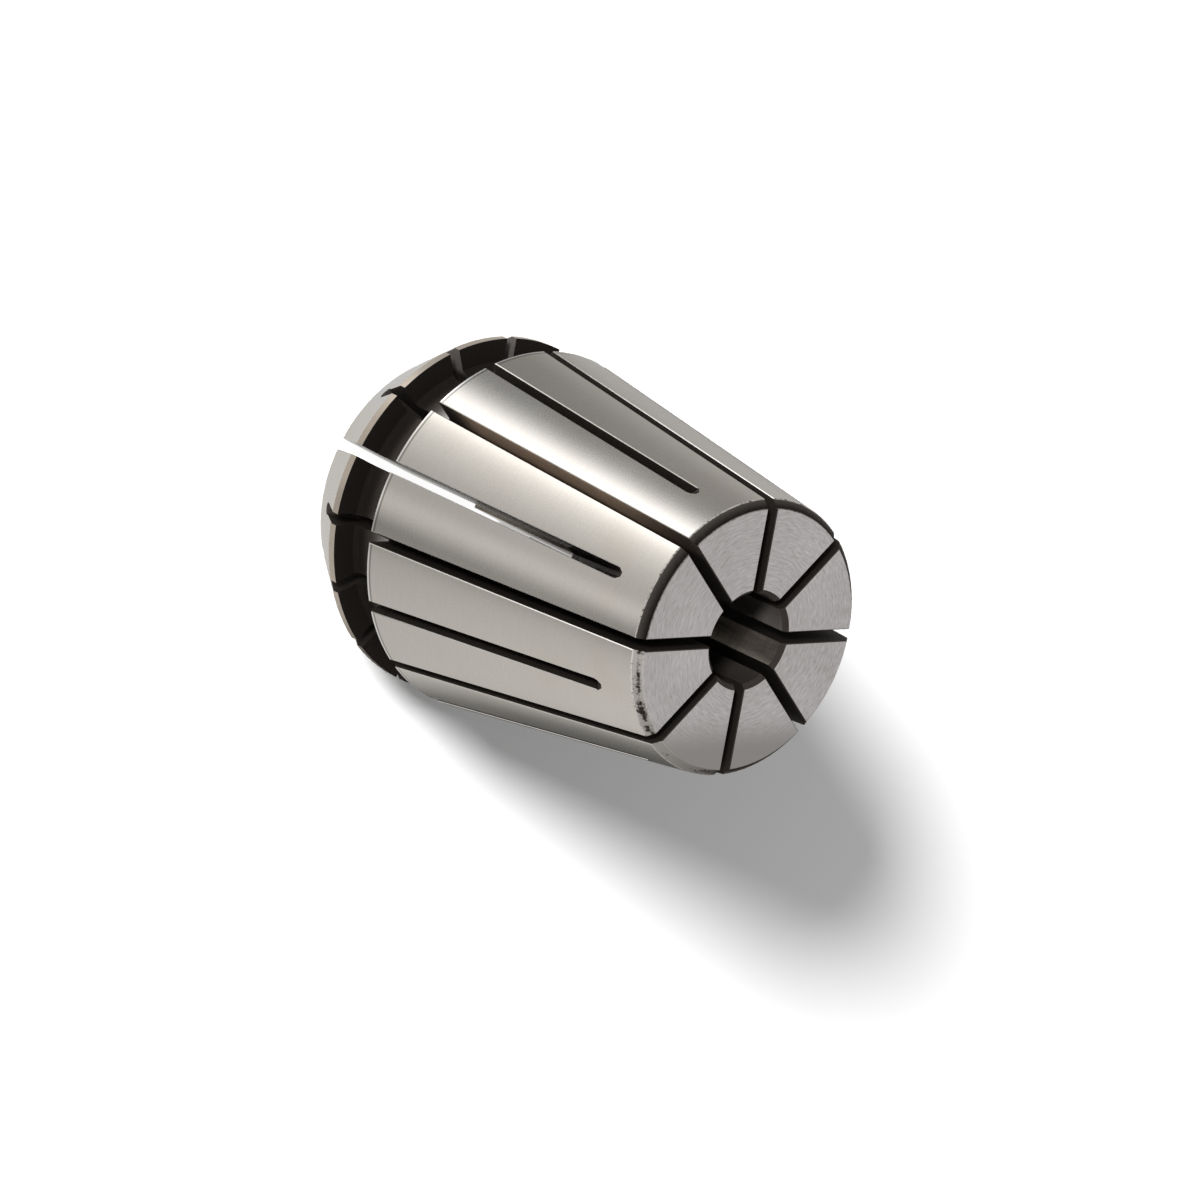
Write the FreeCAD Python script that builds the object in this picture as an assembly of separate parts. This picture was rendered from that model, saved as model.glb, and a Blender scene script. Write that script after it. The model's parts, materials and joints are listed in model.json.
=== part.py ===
import FreeCAD, Part
import math
import os

# A spring collet of the 8 degree kind, in millimetres, turned and slotted from one bar.
# It stands on its wide nose face: z = 0 is that face, and +Z runs to the small end, the tail.

# Overall form
length = 34.0
body_diameter = 26.0
body_half_angle = 8.0
body_edge_break = 0.2

# Collar at the nose, which the clamping nut presses on with its own 30 degree cone.
# Its widest place stands back by this much from the long cone's largest radius.
collar_setback = 0.2
collar_half_angle = 30.0
nose_cone_length = 4.7
collar_land_width = 0.6
nose_edge_break = 0.15

# Groove behind the collar, where the nut's ring snaps in
groove_width = 3.85
groove_diameter = 21.8
groove_corner_bevel = 0.3

# Bore that grips the tool's shank
bore_diameter = 6.35
nose_bore_chamfer = 0.8
tail_bore_chamfer = 0.32
tail_edge_chamfer = 0.6

# Saw cuts: each one is as wide as the saw, and its closed end is the saw's own arc
slots_per_end = 8
slot_width = 0.8
slot_edge_break = 0.06
saw_diameter = 100.0
saw_corner_bevel = 0.25
saw_past_axis = 0.3
nose_bridge = 2.2
tail_bridge = 3.3

# How far a cutter stands clear of what it cuts
clearance = 2.0

# Places along the axis and radii that follow from the sizes above
body_radius = body_diameter / 2
collar_radius = body_radius - collar_setback
groove_radius = groove_diameter / 2
bore_radius = bore_diameter / 2
body_slope = math.tan(math.radians(body_half_angle))
collar_slope = math.tan(math.radians(collar_half_angle))
land_top = nose_cone_length + collar_land_width
body_start = land_top + groove_width
nose_radius = collar_radius - collar_slope * nose_cone_length
# The bore is ground from both ends, and the two cuts meet half way
bore_middle = length / 2
axis_point = FreeCAD.Vector(0, 0, 0)
axis_direction = FreeCAD.Vector(0, 0, 1)
across_slot = FreeCAD.Vector(0, 1, 0)


def body_radius_at(z):
    """Radius of the long 8 degree cone at height z."""
    return body_radius - body_slope * (z - body_start)


def collar_radius_at(z):
    """Radius of the 30 degree nose cone at height z."""
    return nose_radius + collar_slope * z


def point(radius, z):
    """A point of a half section, which lies in the XZ plane."""
    return FreeCAD.Vector(radius, 0, z)


def turned_blank():
    """The collet as it leaves the lathe and the grinder, before it is slotted."""
    bevel = min(groove_corner_bevel, groove_width / 3, (collar_radius - groove_radius) / 2)
    break_z = body_start + body_edge_break
    tail_z = length - tail_edge_chamfer
    outline = [
        point(bore_radius + nose_bore_chamfer, 0),
        point(nose_radius - nose_edge_break, 0),
        point(collar_radius_at(nose_edge_break), nose_edge_break),
        point(collar_radius, nose_cone_length),
        point(collar_radius, land_top),
        point(groove_radius + bevel, land_top),
        point(groove_radius, land_top + bevel),
        point(groove_radius, body_start - bevel),
        point(groove_radius + bevel, body_start),
        point(body_radius - body_edge_break, body_start),
        point(body_radius_at(break_z), break_z),
        point(body_radius_at(tail_z), tail_z),
        point(body_radius_at(tail_z) - tail_edge_chamfer, length),
        point(bore_radius + tail_bore_chamfer, length),
        point(bore_radius, length - tail_bore_chamfer),
        point(bore_radius, bore_middle),
        point(bore_radius, nose_bore_chamfer),
    ]
    section = Part.Face(Part.makePolygon(outline + outline[:1]))
    blank = section.revolve(axis_point, axis_direction, 360)
    # The seam of the turned faces lies midway between two slots
    blank.rotate(axis_point, axis_direction, 90 / slots_per_end)
    return blank


def saw_reach(radius):
    """How far along the axis the saw's rim stands from its centre, at a radius of the collet."""
    depth = radius + saw_past_axis
    return math.sqrt(depth * (saw_diameter - depth))


def saw_blade(closed_z, closed_radius, open_z):
    """One slot in the XZ plane: open at open_z, closed by the saw's arc.

    The arc comes out of the outer surface at closed_radius, at height closed_z.
    """
    toward_closed = 1 if closed_z > open_z else -1
    center_z = closed_z - toward_closed * saw_reach(closed_radius)
    outside = body_radius + clearance
    beyond = open_z - toward_closed * clearance

    def rim(radius):
        return point(radius, center_z + toward_closed * saw_reach(radius))

    arc = Part.Arc(rim(0), rim(outside / 2), rim(outside)).toShape()
    sides = Part.makePolygon([rim(outside), point(outside, beyond), point(0, beyond), rim(0)])
    blade = Part.Face(Part.Wire([arc] + sides.Edges)).extrude(across_slot * slot_width)
    blade.translate(across_slot * (-slot_width / 2))
    rims = [edge for edge in blade.Edges if isinstance(edge.Curve, Part.Circle)]
    return blade.makeChamfer(min(saw_corner_bevel, 0.4 * slot_width), rims)


def edge_break(start, end):
    """V shaped cutter that breaks both edges of a slot along a straight line of the outline.

    The line is walked as the outline is: out along the nose, up the outside, in at the tail.
    """
    along = end - start
    outward = FreeCAD.Vector(along.z, 0, -along.x).normalize()
    half_mouth = slot_width / 2 + slot_edge_break
    above = start + outward * slot_edge_break
    reach = across_slot * (half_mouth + slot_edge_break)
    bottom = start - outward * half_mouth
    profile = Part.Face(Part.makePolygon([bottom, above + reach, above - reach, bottom]))
    return profile.extrude(along)


def nose_slot():
    """A slot that is open at the nose and runs out on the long cone near the tail."""
    closed_z = length - tail_bridge
    run_z = closed_z - 2 * saw_corner_bevel
    foot_z = body_start - slot_width
    nose_face = edge_break(point(0, 0), point(nose_radius, 0))
    nose_cone = edge_break(point(nose_radius, 0), point(collar_radius, nose_cone_length))
    long_cone = edge_break(point(body_radius_at(foot_z), foot_z),
                           point(body_radius_at(run_z), run_z))
    blade = saw_blade(closed_z, body_radius_at(closed_z), 0)
    return blade.fuse([nose_face, nose_cone, long_cone])


def tail_slot():
    """A slot that is open at the tail and runs out on the nose cone."""
    run_z = nose_bridge + 2 * saw_corner_bevel
    foot_z = body_start - slot_width
    nose_cone = edge_break(point(collar_radius_at(run_z), run_z),
                           point(collar_radius, nose_cone_length))
    long_cone = edge_break(point(body_radius_at(foot_z), foot_z),
                           point(body_radius_at(length), length))
    tail_face = edge_break(point(body_radius_at(length), length), point(0, length))
    blade = saw_blade(nose_bridge, collar_radius_at(nose_bridge), length)
    return blade.fuse([nose_cone, long_cone, tail_face])


def slot_pattern(slot, first_angle):
    """The same cut at equal steps round the axis."""
    copies = []
    for index in range(slots_per_end):
        turned = slot.copy()
        turned.rotate(axis_point, axis_direction, first_angle + index * 360 / slots_per_end)
        copies.append(turned)
    return copies


def collet():
    """The finished piece: tail slots and nose slots stand half a step apart."""
    slots = slot_pattern(tail_slot(), 0) + slot_pattern(nose_slot(), 180 / slots_per_end)
    return turned_blank().cut(slots)


os.makedirs("parts", exist_ok=True)
piece = collet()
piece.exportStep("parts/collet.step")
print("collet", "valid", piece.isValid(), "solids", len(piece.Solids), "volume", round(piece.Volume, 1))
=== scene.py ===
import json
import math

import bpy
from mathutils import Matrix, Vector

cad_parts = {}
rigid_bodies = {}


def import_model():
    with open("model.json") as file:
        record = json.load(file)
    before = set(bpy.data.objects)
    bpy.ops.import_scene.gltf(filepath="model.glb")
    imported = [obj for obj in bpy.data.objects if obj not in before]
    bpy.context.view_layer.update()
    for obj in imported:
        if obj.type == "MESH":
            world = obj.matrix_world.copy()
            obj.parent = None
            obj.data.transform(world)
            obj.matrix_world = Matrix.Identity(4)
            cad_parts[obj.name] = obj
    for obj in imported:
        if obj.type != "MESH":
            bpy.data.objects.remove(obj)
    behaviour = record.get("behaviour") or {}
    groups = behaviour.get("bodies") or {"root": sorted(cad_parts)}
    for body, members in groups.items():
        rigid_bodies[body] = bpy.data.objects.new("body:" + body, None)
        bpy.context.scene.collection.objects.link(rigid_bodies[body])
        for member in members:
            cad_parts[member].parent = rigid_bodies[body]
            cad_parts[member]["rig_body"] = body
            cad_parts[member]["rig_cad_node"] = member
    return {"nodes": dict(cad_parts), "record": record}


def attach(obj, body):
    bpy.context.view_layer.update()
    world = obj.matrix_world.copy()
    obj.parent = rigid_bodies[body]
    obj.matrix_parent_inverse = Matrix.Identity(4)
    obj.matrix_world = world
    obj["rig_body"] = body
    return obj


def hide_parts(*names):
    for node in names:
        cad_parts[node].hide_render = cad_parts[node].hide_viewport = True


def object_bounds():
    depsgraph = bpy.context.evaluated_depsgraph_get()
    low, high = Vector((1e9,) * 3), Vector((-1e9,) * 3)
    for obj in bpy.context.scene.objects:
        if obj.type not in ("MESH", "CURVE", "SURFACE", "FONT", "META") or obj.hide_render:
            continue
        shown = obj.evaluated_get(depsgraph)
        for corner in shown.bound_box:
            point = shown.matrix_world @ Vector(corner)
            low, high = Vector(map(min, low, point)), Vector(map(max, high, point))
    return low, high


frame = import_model()
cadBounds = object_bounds()
mm = 0.001


# Shader maths: a Socket holds a node's output, and sums and products add Math nodes
class Socket:
    def __init__(self, tree, link):
        self.tree = tree
        self.link = link

    def math(self, operation, *others):
        values = {i + 1: other for i, other in enumerate(others)}
        return self.tree.add("ShaderNodeMath", {"operation": operation}, {0: self, **values})

    def __add__(self, other):
        return self.math("ADD", other)

    def __radd__(self, other):
        return self.math("ADD", other)

    def __sub__(self, other):
        return self.math("SUBTRACT", other)

    def __rsub__(self, other):
        return self.tree.add("ShaderNodeMath", {"operation": "SUBTRACT"}, {0: other, 1: self})

    def __mul__(self, other):
        return self.math("MULTIPLY", other)

    def __rmul__(self, other):
        return self.math("MULTIPLY", other)

    def absolute(self):
        return self.math("ABSOLUTE")

    def degrees(self):
        return self.math("DEGREES")

    def clamped(self):
        return self.math("MAXIMUM", 0.0).math("MINIMUM", 1.0)


class Tree:
    def __init__(self, nodes, links):
        self.nodes = nodes
        self.links = links

    # Adds a node: its settings first, then the values or links of its sockets
    def add(self, kind, settings=None, values=None, output=0):
        node = self.nodes.new(kind)
        for name, value in (settings or {}).items():
            if name == "stops":
                self.setStops(node.color_ramp, value)
            else:
                setattr(node, name, value)
        for name, value in (values or {}).items():
            self.put(node.inputs[name], value)
        return Socket(self, node.outputs[output])

    def put(self, socket, value):
        if isinstance(value, Socket):
            self.links.new(value.link, socket)
        else:
            socket.default_value = value

    # Object coordinates in millimetres, and the same place as its radius and turn, in radians
    def readPlace(self):
        place = self.add("ShaderNodeTexCoord", output=3)
        self.place = self.add("ShaderNodeVectorMath", {"operation": "SCALE"},
                              {0: place, "Scale": 1 / mm})
        self.x = self.axisOf(0)
        self.y = self.axisOf(1)
        self.z = self.axisOf(2)
        self.radius = (self.x * self.x + self.y * self.y).math("SQRT")
        self.turn = self.y.math("ARCTAN2", self.x)

    def axisOf(self, index):
        return self.add("ShaderNodeSeparateXYZ", values={0: self.place}, output=index)

    def vector(self, x, y, z):
        return self.add("ShaderNodeCombineXYZ", values={0: x, 1: y, 2: z})

    # A ramp's stops are places from 0 to 1, each with a shade
    def setStops(self, ramp, stops):
        ramp.interpolation = "EASE"
        while len(ramp.elements) < len(stops):
            ramp.elements.new(1.0)
        for element, (place, shade) in zip(ramp.elements, stops):
            element.position = place
            element.color = (shade, shade, shade, 1)

    # From low to high the value goes from 0 to 1
    def ramp(self, value, low, high):
        return self.add("ShaderNodeMapRange", {"interpolation_type": "SMOOTHSTEP"},
                        {"Value": value, "From Min": low, "From Max": high})

    # From low to high the value goes from 1 to 0
    def fade(self, value, low, high):
        return 1 - self.ramp(value, low, high)

    # The value rises over the first stretch and falls again over the second
    def between(self, value, rise, fall):
        return self.ramp(value, *rise) * self.fade(value, *fall)

    def noise(self, vector, scale, detail, roughness=0.5):
        return self.add("ShaderNodeTexNoise", {"noise_dimensions": "3D"},
                        {"Vector": vector, "Scale": scale, "Detail": detail, "Roughness": roughness})

    # A colour between low and high. Sockets 6 and 7 are the node's two colours
    def blend(self, mask, low, high):
        return self.add("ShaderNodeMix", {"data_type": "RGBA"}, {0: mask, 6: low, 7: high}, output=2)


class SteelMaterial(Tree):
    def __init__(self, name):
        self.material = bpy.data.materials.new(name)
        self.material.use_nodes = True
        super().__init__(self.material.node_tree.nodes, self.material.node_tree.links)
        self.shader = self.nodes["Principled BSDF"]
        self.readPlace()

    # Marks that run along the axes whose stretch is small and lie close along the others
    def marks(self, stretch, detail, roughness):
        place = self.add("ShaderNodeVectorMath", {"operation": "MULTIPLY"}, {0: self.place, 1: stretch})
        return self.noise(place, 1.0, detail, roughness)

    # A line round the piece, full within the first width and gone past the second
    def lineAt(self, height, widths):
        return self.fade((self.z - height).absolute(), *widths)

    def bump(self, height, depth):
        return self.add("ShaderNodeBump", values={"Height": height, "Distance": depth * mm,
                                                  "Strength": 1.0})

    def finish(self, color, roughness, metallic, normal=None):
        self.put(self.shader.inputs["Base Color"], color)
        self.put(self.shader.inputs["Roughness"], roughness)
        self.put(self.shader.inputs["Metallic"], metallic)
        if normal is not None:
            self.put(self.shader.inputs["Normal"], normal)
        return self.material


# A number between low and high
def mix(mask, low, high):
    return low + mask * (high - low)


# How far a place lies to the left of the line that leaves the axis at a turn in degrees
def leftOf(place, turn):
    angle = math.radians(turn)
    return place.x * -math.sin(angle) + place.y * math.cos(angle)


# How far it lies behind the axis on that line
def behind(place, turn):
    angle = math.radians(turn)
    return place.x * -math.cos(angle) - place.y * math.sin(angle)


boreMount = next(mount for mount in frame["record"]["mounts"] if mount["name"] == "bore")

# Sizes of the collet in millimetres, as its drawing gives them, and the turn in degrees of the
# slot that the camera sees through
collet = {
    "coneHalfAngle": 8.0,
    "noseHalfAngle": 30.0,
    "chamferAngle": 45.0,
    "coneRadius": 13.0,
    "collarRadius": 12.8,
    "noseConeTop": 4.7,
    "landTop": 5.3,
    "grooveTop": 9.15,
    "tailChamfer": 0.6,
    "length": (cadBounds[1].z - cadBounds[0].z) / mm,
    "boreRadius": boreMount["dims"]["r_mm"],
    "clearSlotTurn": 157.5,
}
coneSlope = math.tan(math.radians(collet["coneHalfAngle"]))
noseSlope = math.tan(math.radians(collet["noseHalfAngle"]))


# In the finishes below, heights, widths and bumps are in millimetres and turns in degrees. A pair
# of numbers is where a change starts and where it is complete
def groundSteel():
    look = {
        "light": (0.665, 0.640, 0.600, 1),
        "dark": (0.555, 0.530, 0.492, 1),
        "stained": (0.575, 0.530, 0.480, 1),
        "lineStretch": (0.8, 0.8, 6.5),
        "grainScale": 6.5,
        "patchScale": 0.16,
        "stainScale": 0.11,
        "stainFrom": (0.50, 0.70),
        "rim": (0.20, 0.185, 0.17, 1),
        "rimHeight": 9.58,
        "rimWidths": (0.04, 0.10),
        "edge": (0.95, 0.94, 0.92, 1),
        "highlightHeight": 9.39,
        "highlightWidths": (0.07, 0.11),
        "roughness": 0.27,
        "bump": 0.0012,
    }
    steel = SteelMaterial("ground_steel")
    # Grinding leaves short fine lines round the cone, under a fine grain
    lines = steel.marks(look["lineStretch"], 4.0, 0.62)
    grain = steel.noise(steel.place, look["grainScale"], 2.0)
    patches = steel.noise(steel.place, look["patchScale"], 2.0)
    stain = steel.ramp(steel.noise(steel.place, look["stainScale"], 2.0, 0.6), *look["stainFrom"])
    mixed = steel.blend(lines * 0.65 + grain * 0.35, look["dark"], look["light"])
    color = steel.blend(stain * 0.5, mixed, look["stained"])
    # By the groove the rim carries a painted highlight as a bright line, with a fine dark line above it
    color = steel.blend(steel.lineAt(look["rimHeight"], look["rimWidths"]) * 0.75, color, look["rim"])
    color = steel.blend(steel.lineAt(look["highlightHeight"], look["highlightWidths"]) * 0.7, color, look["edge"])
    rough = (patches - 0.5) * 0.08 + (grain - 0.5) * 0.07 + look["roughness"]
    normal = steel.bump(lines * 0.7 + grain * 0.3, look["bump"])
    return steel.finish(color, rough.clamped(), 1.0, normal)


def turnedSteel():
    look = {
        "light": (0.68, 0.65, 0.645, 1),
        "dark": (0.40, 0.38, 0.37, 1),
        "contrast": 2.7,
        "arcScale": 1.5,
        "markScale": 7.4,
        "waveScale": 1.1,
        "wave": 2.2,
        "ringScale": 7.0,
        "toneScale": 0.22,
        "shaded": (0.33, 0.315, 0.305, 1),
        "shadedFrom": (4.8, 7.8),
        "roughness": 0.34,
        "bump": 0.003,
    }
    steel = SteelMaterial("turned_steel")
    # The face has fine marks round the axis, which a lapping plate has made wavy
    wave = steel.noise(steel.place, look["waveScale"], 2.0)
    arc = steel.radius * steel.turn * look["arcScale"]
    across = steel.radius * look["markScale"] + wave * look["wave"]
    marks = steel.noise(steel.vector(arc, across, 0.0), 1.0, 4.0, 0.66)
    rings = steel.noise(steel.vector(steel.radius * look["ringScale"], 0.0, 0.0), 1.0, 3.0, 0.6)
    tone = steel.noise(steel.place, look["toneScale"], 1.0)
    mixed = (marks * 0.85 + rings * 0.15 - 0.5) * look["contrast"] + (tone - 0.5) * 0.5 + 0.5
    color = steel.blend(mixed.clamped(), look["dark"], look["light"])
    # Painted shade: the face is darker by its rim towards minus Y
    color = steel.blend(steel.ramp(steel.y * -1, *look["shadedFrom"]), color, look["shaded"])
    rough = (marks - 0.5) * 0.25 + look["roughness"]
    normal = steel.bump(marks * 0.6 + rings * 0.4, look["bump"])
    return steel.finish(color, rough.clamped(), 1.0, normal)


def blackenedSteel():
    low = collet["landTop"]
    high = collet["grooveTop"]
    look = {
        "light": (0.140, 0.120, 0.108, 1),
        "dark": (0.060, 0.050, 0.044, 1),
        "grainScale": 4.0,
        "markStretch": (1.5, 1.5, 6.0),
        "corner": (0.040, 0.033, 0.029, 1),
        "cornerShadeHeights": ((low - 0.02, low - 0.005), (low + 0.6, low + 1.7)),
        "paintedLight": (0.50, 0.485, 0.475, 1),
        "paintedLightHeights": ((low + 1.6, high - 0.3), (high, high + 0.1)),
        "mouthFrom": (collet["length"] - 1.0, collet["length"] - 0.6),
        "roughness": 0.50,
        "bump": 0.004,
    }
    steel = SteelMaterial("blackened_steel")
    grain = steel.noise(steel.place, look["grainScale"], 4.0, 0.65)
    marks = steel.marks(look["markStretch"], 3.0, 0.6)
    mottle = grain * 0.5 + marks * 0.5
    color = steel.blend(mottle, look["dark"], look["light"])
    # Painted shade makes the groove blackest in its lower corner, and painted light makes it lighter
    # grey up by the long cone
    corner = steel.between(steel.z, *look["cornerShadeHeights"])
    paintedLight = steel.between(steel.z, *look["paintedLightHeights"])
    color = steel.blend(corner, color, look["corner"])
    color = steel.blend(paintedLight * 0.75, color, look["paintedLight"])
    # That corner and the chamfer at the bore's mouth are the dullest
    mouth = steel.ramp(steel.z, *look["mouthFrom"])
    rough = (grain - 0.5) * 0.3 + look["roughness"] - paintedLight * 0.14 + (corner + mouth) * 0.36
    return steel.finish(color, rough.clamped(), 0.92, steel.bump(mottle, look["bump"]))


def boreSteel():
    look = {
        "light": (0.140, 0.122, 0.110, 1),
        "dark": (0.050, 0.042, 0.037, 1),
        "markStretch": (0.9, 0.9, 5.5),
        "scratchStretch": (5.0, 5.0, 0.7),
        "upperLight": (0.46, 0.42, 0.39, 1),
        "upperDark": (0.17, 0.15, 0.137, 1),
        "upperTurns": ((0.0, 3.4), (80.2, 91.7)),
        "litSegmentLight": (0.36, 0.315, 0.27, 1),
        "litSegmentDark": (0.115, 0.098, 0.084, 1),
        "litSegmentTurns": ((-48.1, -43.5), (-3.4, 0.0)),
        "litSegmentEdge": (-37.8, -28.6),
        "roughness": 0.34,
        "bump": 0.004,
    }
    steel = SteelMaterial("bore_steel")
    turn = steel.turn.degrees()
    # Left dark by the hardening, with fine marks round it from the reamer
    marks = steel.marks(look["markStretch"], 4.0, 0.65)
    scratches = steel.marks(look["scratchStretch"], 3.0, 0.6)
    mottle = marks * 0.6 + scratches * 0.4
    upper = steel.between(turn, *look["upperTurns"])
    black = steel.blend(mottle, look["dark"], look["light"])
    black = steel.blend(upper, black, steel.blend(mottle, look["upperDark"], look["upperLight"]))
    # Painted light: one of its segments is lighter, most along one edge
    paintedLight = steel.between(turn, *look["litSegmentTurns"])
    edge = steel.fade(turn, *look["litSegmentEdge"])
    bareAndLit = (marks * 0.6 + scratches * 0.8 - 0.45 + edge * 0.55).clamped()
    color = steel.blend(paintedLight, black, steel.blend(bareAndLit, look["litSegmentDark"], look["litSegmentLight"]))
    return steel.finish(color, look["roughness"], 0.85, steel.bump(marks, look["bump"]))


def wornBlackedSteel():
    look = {
        "outer": (0.110, 0.098, 0.087, 1),
        "inner": (0.014, 0.011, 0.010, 1),
        "fineScale": 4.6,
        "coarseScale": 0.75,
        "speck": (0.055, 0.042, 0.036, 1),
        "bareAndLit": (0.50, 0.47, 0.44, 1),
        "bareFrom": (0.66, 0.82),
        "wornPastX": (0.0, 3.0),
        "wornPastY": (0.0, 0.5),
        "line": (0.85, 0.81, 0.77, 1),
        "lineOuter": (0.01, 0.06),
        "lineInner": (0.96, 1.0),
        "lineBroken": (0.36, 0.50),
        "roughness": 0.84,
        "bump": 0.006,
    }
    steel = SteelMaterial("worn_blacked_steel")
    across = steel.ramp(steel.z, collet["length"] - collet["tailChamfer"], collet["length"])
    fine = steel.noise(steel.place, look["fineScale"], 5.0, 0.72)
    coarse = steel.noise(steel.place, look["coarseScale"], 2.0)
    # Towards minus X and Y the blacking of the tail's chamfer is worn, to specks in its middle
    side = steel.ramp(steel.y * -1, *look["wornPastY"]) * steel.ramp(steel.x * -1, *look["wornPastX"])
    middle = (across * 2.0 - 1.15).absolute()
    bareAndLit = steel.ramp(fine * 0.8 + coarse * 0.7 + middle * 0.15, *look["bareFrom"]) * side
    black = steel.blend(across + (fine - 0.5) * 0.5, look["outer"], look["inner"])
    black = steel.blend(side, black, look["speck"])
    color = steel.blend(bareAndLit, black, look["bareAndLit"])
    # Both its edges are rubbed, and carry fine bright lines painted on as highlights
    edges = steel.fade(across, *look["lineOuter"]) + steel.ramp(across, *look["lineInner"]) * 0.6
    line = edges * steel.ramp(fine, *look["lineBroken"])
    color = steel.blend(line * 0.7, color, look["line"])
    rough = look["roughness"] - bareAndLit * 0.44 - line * (1 - bareAndLit) * 0.14
    return steel.finish(color, rough, 0.9, steel.bump(fine, look["bump"]))


def sawnSteel():
    look = {
        "light": (0.066, 0.056, 0.049, 1),
        "dark": (0.022, 0.018, 0.015, 1),
        "markStretch": (0.7, 0.7, 5.0),
        "blotchScale": 1.3,
        "collarLight": (0.115, 0.103, 0.094, 1),
        "collarDark": (0.050, 0.044, 0.040, 1),
        "collarPastY": (10.0, 10.6),
        "collarUpTo": (8.6, 9.3),
        "brownLight": (0.285, 0.190, 0.125, 1),
        "brownDark": (0.120, 0.097, 0.078, 1),
        "brownTurn": 135,
        "brownAside": (0.5, 0.6),
        "brownPastX": (1.0, 1.5),
        "brownRise": (9.4, 13.0),
        "brownFall": (25.5, 33.4),
        "litDepth": (1.3, 2.2),
        "reflectionLight": (0.72, 0.70, 0.68, 1),
        "reflectionDark": (0.35, 0.32, 0.29, 1),
        "reflectionAside": ((0.2, 0.3), (0.5, 0.6)),
        "roughness": 0.68,
        "bump": 0.002,
    }
    steel = SteelMaterial("sawn_steel")
    # The saw leaves fine marks on the slots' walls, which the hardening has blackened
    marks = steel.marks(look["markStretch"], 5.0, 0.7)
    mottle = marks * 0.4 + steel.noise(steel.place, look["blotchScale"], 4.0, 0.65) * 0.6
    color = steel.blend(mottle, look["dark"], look["light"])
    # On one side of the collar and the groove they are greyer
    collar = steel.ramp(steel.y, *look["collarPastY"]) * steel.fade(steel.z, *look["collarUpTo"])
    color = steel.blend(collar, color, steel.blend(mottle, look["collarDark"], look["collarLight"]))
    # One slot's wall along the long cone has a brown heat tint under painted light, which is strongest
    # near the surface and less towards the tail
    aside = leftOf(steel, look["brownTurn"]).absolute()
    litBrownWall = steel.fade(aside, *look["brownAside"]) * steel.ramp(steel.x * -1, *look["brownPastX"])
    litBrownWall = litBrownWall * steel.ramp(steel.z, *look["brownRise"])
    litBrownWall = litBrownWall * (1 - steel.ramp(steel.z, *look["brownFall"]) * 0.75)
    depth = collet["coneRadius"] - (steel.z - collet["grooveTop"]) * coneSlope - steel.radius
    litBrownWall = litBrownWall * steel.fade(depth, *look["litDepth"])
    color = steel.blend(litBrownWall, color, steel.blend(mottle, look["brownDark"], look["brownLight"]))
    # The slot that can be seen through, and the one across from it, carry a painted reflection on one
    # wall, a lighter grey
    aside = leftOf(steel, collet["clearSlotTurn"]) * -1
    paintedReflection = steel.between(aside, *look["reflectionAside"])
    color = steel.blend(paintedReflection, color, steel.blend(mottle, look["reflectionDark"], look["reflectionLight"]))
    rough = look["roughness"] - paintedReflection * 0.44
    metallic = 0.85 - litBrownWall * 0.85 - collar * 0.5 + paintedReflection * 0.15
    return steel.finish(color, rough, metallic, steel.bump(marks, look["bump"]))


def landSteel():
    look = {
        "light": (0.60, 0.53, 0.455, 1),
        "dark": (0.37, 0.32, 0.27, 1),
        "grainScale": 2.6,
        "ringStretch": (0.0, 0.0, 9.0),
        "roughness": 0.34,
    }
    steel = SteelMaterial("land_steel")
    grain = steel.noise(steel.place, look["grainScale"], 4.0, 0.6)
    rings = steel.marks(look["ringStretch"], 2.0, 0.5)
    color = steel.blend(grain * 0.45 + rings * 0.55, look["dark"], look["light"])
    return steel.finish(color, look["roughness"], 0.95)


# Edge breaks: bare steel, given a lighter colour than the cone's as a painted highlight along the edges
def edgeHighlightSteel():
    look = {
        "light": (0.88, 0.86, 0.83, 1),
        "dark": (0.55, 0.53, 0.50, 1),
        "grainScale": 2.0,
        "roughness": 0.30,
    }
    steel = SteelMaterial("edge_highlight_steel")
    grain = steel.noise(steel.place, look["grainScale"], 3.0, 0.6)
    color = steel.blend(grain, look["dark"], look["light"])
    return steel.finish(color, look["roughness"], 1.0)


finishes = {
    "ground": groundSteel(),
    "turned": turnedSteel(),
    "black": blackenedSteel(),
    "bore": boreSteel(),
    "sawn": sawnSteel(),
    "worn": wornBlackedSteel(),
    "land": landSteel(),
    "edge": edgeHighlightSteel(),
}
finishNames = list(finishes)
print("finishes made:", len(finishes))


# The turned outline: each stretch is its finish and its two ends, as radius and height
def turnedOutline():
    tailZ = collet["length"] - collet["tailChamfer"]
    tailRadius = collet["coneRadius"] - coneSlope * (tailZ - collet["grooveTop"])
    noseRadius = collet["collarRadius"] - noseSlope * collet["noseConeTop"]
    coneFoot = (collet["coneRadius"], collet["grooveTop"])
    coneTop = (tailRadius, tailZ)
    faceRim = (tailRadius - collet["tailChamfer"], collet["length"])
    noseFoot = (noseRadius, 0.0)
    noseTop = (collet["collarRadius"], collet["noseConeTop"])
    landTop = (collet["collarRadius"], collet["landTop"])
    return [
        ("ground", noseFoot, noseTop),
        ("land", noseTop, landTop),
        ("ground", coneFoot, coneTop),
        ("worn", coneTop, faceRim),
    ]


outline = turnedOutline()

# How faces are told apart. Corners nearer than mergeWithin are one, and the end, surface and edge
# fits are how near they lie to the outline, all in millimetres. spareEnds is the share of a stretch
# that they may lie past its ends, and the rest are shares of a normal that point up, sideways or out
sorting = {
    "mergeWithin": 0.0005,
    "endFit": 0.01,
    "endUp": 0.999,
    "spareEnds": 0.05,
    "surfaceFit": 0.02,
    "surfaceSideways": 0.3,
    "edgeFit": 0.12,
    "edgeSideways": (0.5, 0.85),
    "sawnSideways": 0.95,
    "roundSideways": 0.09,
    "roundOutward": 0.1,
    "slopeFit": 0.10,
}


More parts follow.
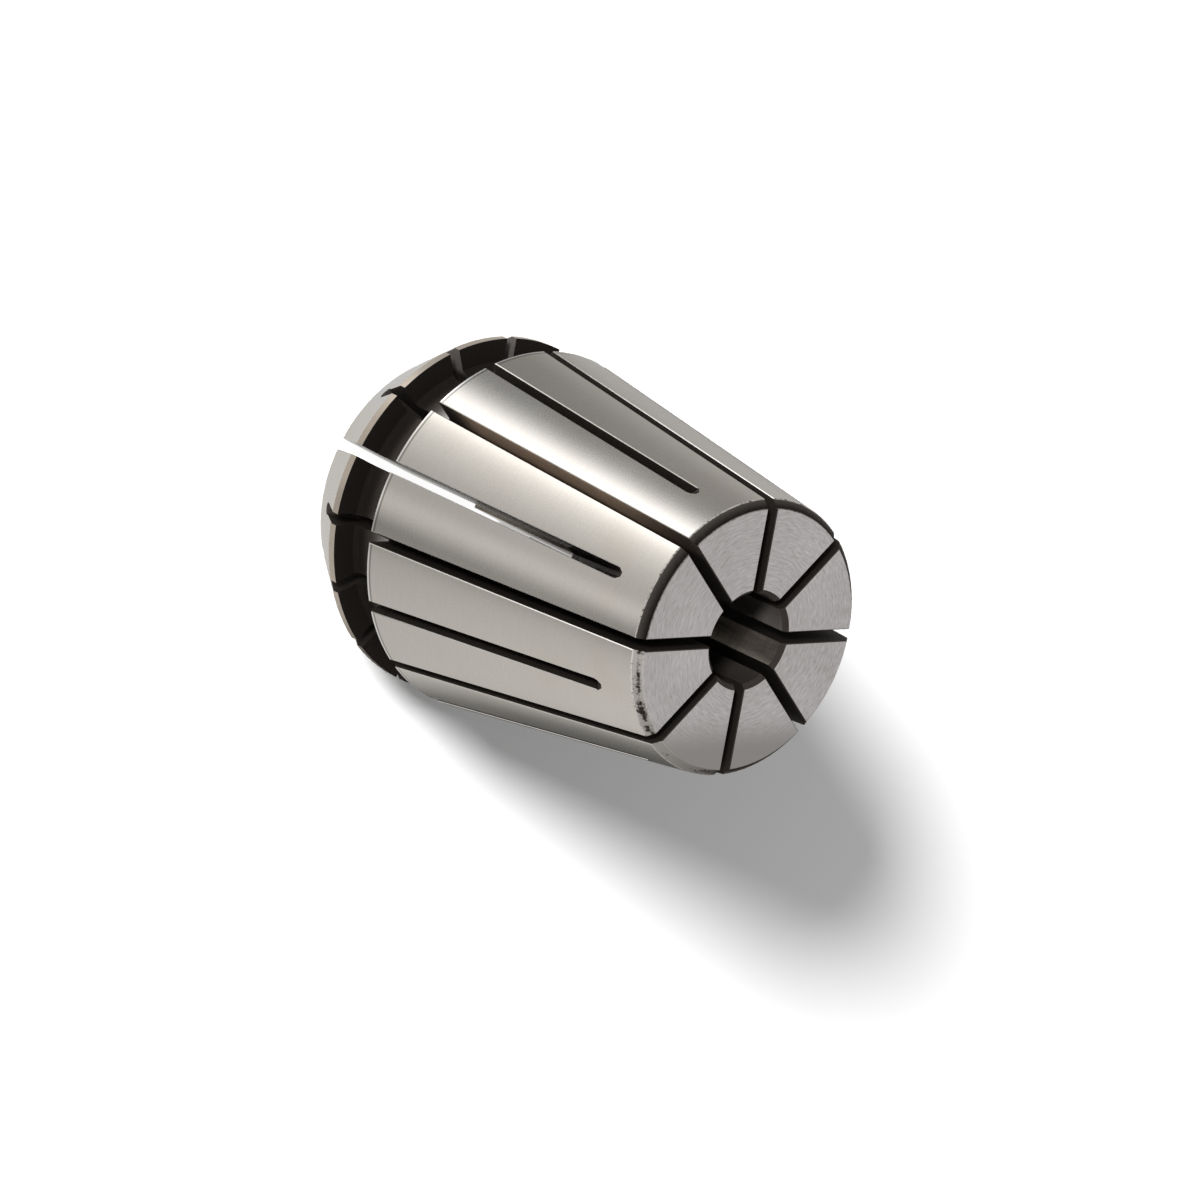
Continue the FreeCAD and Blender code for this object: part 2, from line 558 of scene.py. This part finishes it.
def distanceTo(point, start, end):
    along = Vector(end) - Vector(start)
    share = (Vector(point) - Vector(start)).dot(along) / along.length_squared
    if not -sorting["spareEnds"] <= share <= 1 + sorting["spareEnds"]:
        return math.inf
    return (Vector(point) - Vector(start) - along * share).length


def halfSection(place):
    return math.hypot(place.x, place.y) / mm, place.z / mm


# How far a face looks sideways, round the axis, and how far it looks outward
def facing(face):
    radial = Vector((face.center.x, face.center.y, 0)).normalized()
    return abs(face.normal.dot(Vector((-radial.y, radial.x, 0)))), face.normal.dot(radial)


# Says which finish a face has, from where its corners lie in the half section
def finishOf(mesh, face):
    corners = [halfSection(mesh.vertices[i].co) for i in face.vertices]
    height = corners[0][1]
    atEnd = height > collet["length"] - sorting["endFit"] or height < sorting["endFit"]
    if atEnd and abs(face.normal.z) > sorting["endUp"]:
        return "turned"
    sideways, outward = facing(face)
    least, most = sorting["edgeSideways"]
    for finish, start, end in outline:
        near = max(distanceTo(corner, start, end) for corner in corners)
        if near < sorting["surfaceFit"] and sideways < sorting["surfaceSideways"]:
            return finish
        if near < sorting["edgeFit"] and least < sideways < most:
            return "edge"
    if sideways > sorting["sawnSideways"]:
        return "sawn"
    widest = max(radius for radius, height in corners)
    return "bore" if widest < collet["boreRadius"] + sorting["surfaceFit"] else "black"


# Normals of the turned faces are worked out from the axis, so that long thin facets shade as a cone.
# A facet's own slope can be a degree off, so it takes the nearest slope of the drawing
def smoothNormals(mesh):
    chamfer = collet["chamferAngle"]
    degrees = (collet["coneHalfAngle"], -collet["noseHalfAngle"], 0, chamfer, -chamfer)
    rises = [math.sin(math.radians(angle)) for angle in degrees]
    normals = []
    for face in mesh.polygons:
        sideways, outward = facing(face)
        isRound = sideways < sorting["roundSideways"] and abs(outward) > sorting["roundOutward"]
        nearest = min(rises, key=lambda rise: abs(rise - face.normal.z))
        rise = nearest if abs(nearest - face.normal.z) < sorting["slopeFit"] else face.normal.z
        for i in face.vertices:
            corner = mesh.vertices[i].co
            if isRound:
                away = Vector((corner.x, corner.y, 0)).normalized() * math.copysign(1, outward)
                normals.append(away * math.sqrt(1 - rise ** 2) + Vector((0, 0, rise)))
            else:
                normals.append(face.normal.copy())
    mesh.polygons.foreach_set("use_smooth", [True] * len(mesh.polygons))
    mesh.normals_split_custom_set(normals)


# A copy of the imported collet, merged and given a finish on each face
def makeCollet():
    bpy.ops.object.select_all(action="DESELECT")
    node = frame["nodes"]["collet"]
    node.select_set(True)
    bpy.context.view_layer.objects.active = node
    bpy.ops.object.duplicate()
    piece = bpy.context.view_layer.objects.active
    piece.name = "collet_finished"
    # The copy is a piece of its own, so it drops the tags of the node that it was copied from
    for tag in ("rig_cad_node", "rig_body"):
        del piece[tag]
    bpy.ops.object.mode_set(mode="EDIT")
    bpy.ops.mesh.customdata_custom_splitnormals_clear()
    bpy.ops.mesh.select_all(action="SELECT")
    bpy.ops.mesh.remove_doubles(threshold=sorting["mergeWithin"] * mm)
    bpy.ops.object.mode_set(mode="OBJECT")
    mesh = piece.data
    mesh.materials.clear()
    for name in finishNames:
        mesh.materials.append(finishes[name])
    counts = dict.fromkeys(finishNames, 0)
    for face in mesh.polygons:
        finish = finishOf(mesh, face)
        face.material_index = finishNames.index(finish)
        counts[finish] += 1
    smoothNormals(mesh)
    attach(piece, "root")
    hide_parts("collet")
    print("collet dressed:", counts)


makeCollet()

# Floor: white where it is lit, grey in the collet's shadow, with sizes in millimetres. The steel
# mirrors it with its own shades, as from boards laid round the collet: each has its turn in
# degrees about the mirror point
floorLook = {
    "size": 4000,
    "color": (1.0, 1.0, 1.0, 1),
    "glowFar": 0.10,
    "glowReach": (14, 70),
    "glowUnder": 0.95,
    "glowDeep": 0.45,
    "deepFrom": (6.2, 7.0),
    "footRadius": 10.0,
    "mirrorPoint": (-6.6, 3.5),
    "mirrorTop": 2.5,
    "mirrored": [
        (0, 0.50), (28, 0.64), (44, 0.54), (58, 0.40), (74, 0.36), (86, 0.38), (94, 0.80),
        (102, 2.1), (108, 2.5), (117, 2.4), (125, 1.29), (138, 0.93), (152, 0.70), (167, 0.60),
        (178, 1.00), (184, 0.74), (191, 0.22), (199, 0.42), (212, 0.71), (235, 0.78), (260, 0.80),
        (272, 0.80), (280, 0.46), (289, 0.19), (306, 0.11), (335, 0.12), (360, 0.50),
    ],
    "boardsFrom": (15, 20),
    "boardsReach": (20, 62),
    "boardsNear": 0.885,
    "boardsFar": 1.035,
    "warm": (1.0, 0.985, 0.962, 1),
    "cool": (0.975, 0.985, 1.0, 1),
    "coolTurns": ((66, 84), (96, 118)),
    "foot": 0.76,
    "footLee": 0.10,
    "leeTurns": (39, 70),
    "strip": 0.80,
    "stripAside": (0.8, 1.6),
    "stripFrom": (-6.0, -4.0),
}


# What the steel sees of the floor
def floorMirrored(tree):
    offX = tree.x - floorLook["mirrorPoint"][0]
    offY = tree.y - floorLook["mirrorPoint"][1]
    turn = (offY * -1).math("ARCTAN2", offX * -1).degrees() + 180
    stops = [(angle / 360, shade / floorLook["mirrorTop"]) for angle, shade in floorLook["mirrored"]]
    boards = tree.add("ShaderNodeValToRGB", {"stops": stops}, {0: turn * (1 / 360)})
    far = tree.ramp(tree.radius, *floorLook["boardsReach"])
    level = mix(far, floorLook["boardsNear"], floorLook["boardsFar"])
    boards = boards * floorLook["mirrorTop"] * level
    # By the collet's foot it is one shade, and darker in its lee
    lee = tree.ramp((tree.y * -1).math("ARCTAN2", tree.x * -1).degrees(), *floorLook["leeTurns"])
    foot = mix(lee, floorLook["foot"], floorLook["footLee"])
    away = tree.ramp(tree.radius, *floorLook["boardsFrom"])
    # Along the slot that can be seen through, it is as light as it looks between the walls
    aside = leftOf(tree, collet["clearSlotTurn"]).absolute()
    beyond = tree.ramp(behind(tree, collet["clearSlotTurn"]), *floorLook["stripFrom"])
    strip = tree.fade(aside, *floorLook["stripAside"]) * beyond
    foot = mix(strip * (1 - away), foot, floorLook["strip"])
    shade = mix(away, foot, boards)
    cool = tree.between(turn, *floorLook["coolTurns"])
    tint = tree.blend(cool, floorLook["warm"], floorLook["cool"])
    color = tree.add("ShaderNodeVectorMath", {"operation": "SCALE"}, {0: tint, "Scale": shade})
    return tree.add("ShaderNodeEmission", values={"Color": color, "Strength": 1.0})


def makeFloor():
    bpy.ops.object.select_all(action="DESELECT")
    bpy.ops.mesh.primitive_plane_add(size=floorLook["size"] * mm, location=(0, 0, 0))
    floor = bpy.context.view_layer.objects.active
    floor.name = "floor"
    material = bpy.data.materials.new("white_floor")
    material.use_nodes = True
    tree = Tree(material.node_tree.nodes, material.node_tree.links)
    shader = tree.nodes["Principled BSDF"]
    shader.inputs["Base Color"].default_value = floorLook["color"]
    shader.inputs["Roughness"].default_value = 0.9
    shader.inputs["Specular IOR Level"].default_value = 0.0
    shader.inputs["Emission Strength"].default_value = 1.0
    # The camera sees it glow faintly far out, and nearly white where it shows through the slots
    tree.readPlace()
    far = tree.ramp(tree.radius, *floorLook["glowReach"]) * floorLook["glowFar"]
    deep = tree.ramp(behind(tree, collet["clearSlotTurn"]), *floorLook["deepFrom"])
    glow = mix(deep, floorLook["glowUnder"], floorLook["glowDeep"])
    under = tree.radius.math("LESS_THAN", floorLook["footRadius"]) * glow
    cameraRay = tree.add("ShaderNodeLightPath")
    tree.put(shader.inputs["Emission Color"], cameraRay * (far + under))
    lit = Socket(tree, shader.outputs[0])
    glossyRay = tree.add("ShaderNodeLightPath", output=3)
    mixed = tree.add("ShaderNodeMixShader", values={0: glossyRay, 1: lit, 2: floorMirrored(tree)})
    tree.put(tree.nodes["Material Output"].inputs["Surface"], mixed)
    floor.data.materials.append(material)
    print("floor laid")


makeFloor()

# Camera: fitted to the photograph, in metres in the collet's own frame
cameraLook = {
    "place": (-0.221349, 0.082690, 0.263000),
    "right": (0.7585218, 0.1691689, 0.6293064),
    "up": (0.0351835, 0.9536755, -0.2987729),
    "focalPixels": 4998.7,
    "imagePixels": 1200,
    "sensor": 36.0,
    "clip": (0.01, 20),
}


def makeCamera():
    data = bpy.data.cameras.new("photo_camera")
    camera = bpy.data.objects.new("photo_camera", data)
    bpy.context.scene.collection.objects.link(camera)
    right = Vector(cameraLook["right"]).normalized()
    up = Vector(cameraLook["up"])
    up = (up - right * up.dot(right)).normalized()
    back = right.cross(up)
    turn = Matrix((right, up, back)).transposed().to_4x4()
    camera.matrix_world = Matrix.Translation(Vector(cameraLook["place"])) @ turn
    data.sensor_width = cameraLook["sensor"]
    data.lens = cameraLook["focalPixels"] / cameraLook["imagePixels"] * cameraLook["sensor"]
    data.clip_start, data.clip_end = cameraLook["clip"]
    bpy.context.scene.camera = camera
    print("camera placed")


makeCamera()

# Key lamp: a soft disk on the camera's side, whose turn and height throw the shadow. The steel
# doesn't mirror it, because the tail face would turn white in views towards it
keyLook = {
    "turn": 146,
    "elevation": 28.5,
    "distance": 2.4,
    "size": 0.56,
    "power": 124.0,
}


def makeKey():
    turn = math.radians(keyLook["turn"])
    elevation = math.radians(keyLook["elevation"])
    level = math.cos(elevation)
    toward = Vector((level * math.cos(turn), level * math.sin(turn), math.sin(elevation)))
    data = bpy.data.lights.new("key", "AREA")
    data.shape = "DISK"
    data.size = keyLook["size"]
    data.energy = keyLook["power"]
    lamp = bpy.data.objects.new("key", data)
    bpy.context.scene.collection.objects.link(lamp)
    lamp.location = toward * keyLook["distance"]
    lamp.rotation_euler = toward.to_track_quat("Z", "Y").to_euler()
    lamp.visible_camera = False
    lamp.visible_glossy = False


makeKey()

# Cards: upright glowing boards that only the steel sees. Turn is where they stand, in degrees
cardLook = {
    "turns": (98, 218, 338),
    "distance": 0.30,
    "width": 0.07,
    "tall": 0.11,
    "glow": 1.6,
}


def makeCards():
    material = bpy.data.materials.new("card_glow")
    material.use_nodes = True
    tree = Tree(material.node_tree.nodes, material.node_tree.links)
    shader = tree.nodes["Principled BSDF"]
    shader.inputs["Base Color"].default_value = (0, 0, 0, 1)
    shader.inputs["Specular IOR Level"].default_value = 0.0
    shader.inputs["Emission Color"].default_value = (1, 1, 1, 1)
    shader.inputs["Emission Strength"].default_value = cardLook["glow"]
    reach = cardLook["distance"]
    for turn in cardLook["turns"]:
        angle = math.radians(turn)
        place = (reach * math.cos(angle), reach * math.sin(angle), cardLook["tall"] / 2)
        upright = (math.pi / 2, 0, angle + math.pi / 2)
        bpy.ops.object.select_all(action="DESELECT")
        bpy.ops.mesh.primitive_plane_add(size=1, location=place, rotation=upright)
        card = bpy.context.view_layer.objects.active
        card.name = "card_%d" % turn
        card.scale = (cardLook["width"], cardLook["tall"], 1)
        card.data.materials.append(material)
        card.visible_camera = False
        card.visible_diffuse = False
        card.visible_shadow = False
        card.visible_transmission = False


makeCards()

# World: white to the camera, a grey room that is lighter overhead to the steel, and an even soft
# light on everything else
worldLook = {
    "diffuse": 0.28,
    "low": 0.22,
    "high": 0.80,
    "heights": (-0.1, 0.9),
}


def makeWorld():
    world = bpy.data.worlds.new("studio")
    bpy.context.scene.world = world
    world.use_nodes = True
    tree = Tree(world.node_tree.nodes, world.node_tree.links)
    background = tree.nodes["Background"]
    direction = tree.add("ShaderNodeTexCoord")
    height = tree.add("ShaderNodeSeparateXYZ", values={0: direction}, output=2)
    room = mix(tree.ramp(height, *worldLook["heights"]), worldLook["low"], worldLook["high"])
    cameraRay = tree.add("ShaderNodeLightPath")
    glossyRay = tree.add("ShaderNodeLightPath", output=3)
    other = (1 - cameraRay) * (1 - glossyRay)
    strength = cameraRay + glossyRay * room + other * worldLook["diffuse"]
    tree.put(background.inputs["Strength"], strength)
    background.inputs["Color"].default_value = (1, 1, 1, 1)


makeWorld()
bpy.context.scene.view_settings.view_transform = "Standard"
print("lamp, cards and world lit")

print("scene ready")
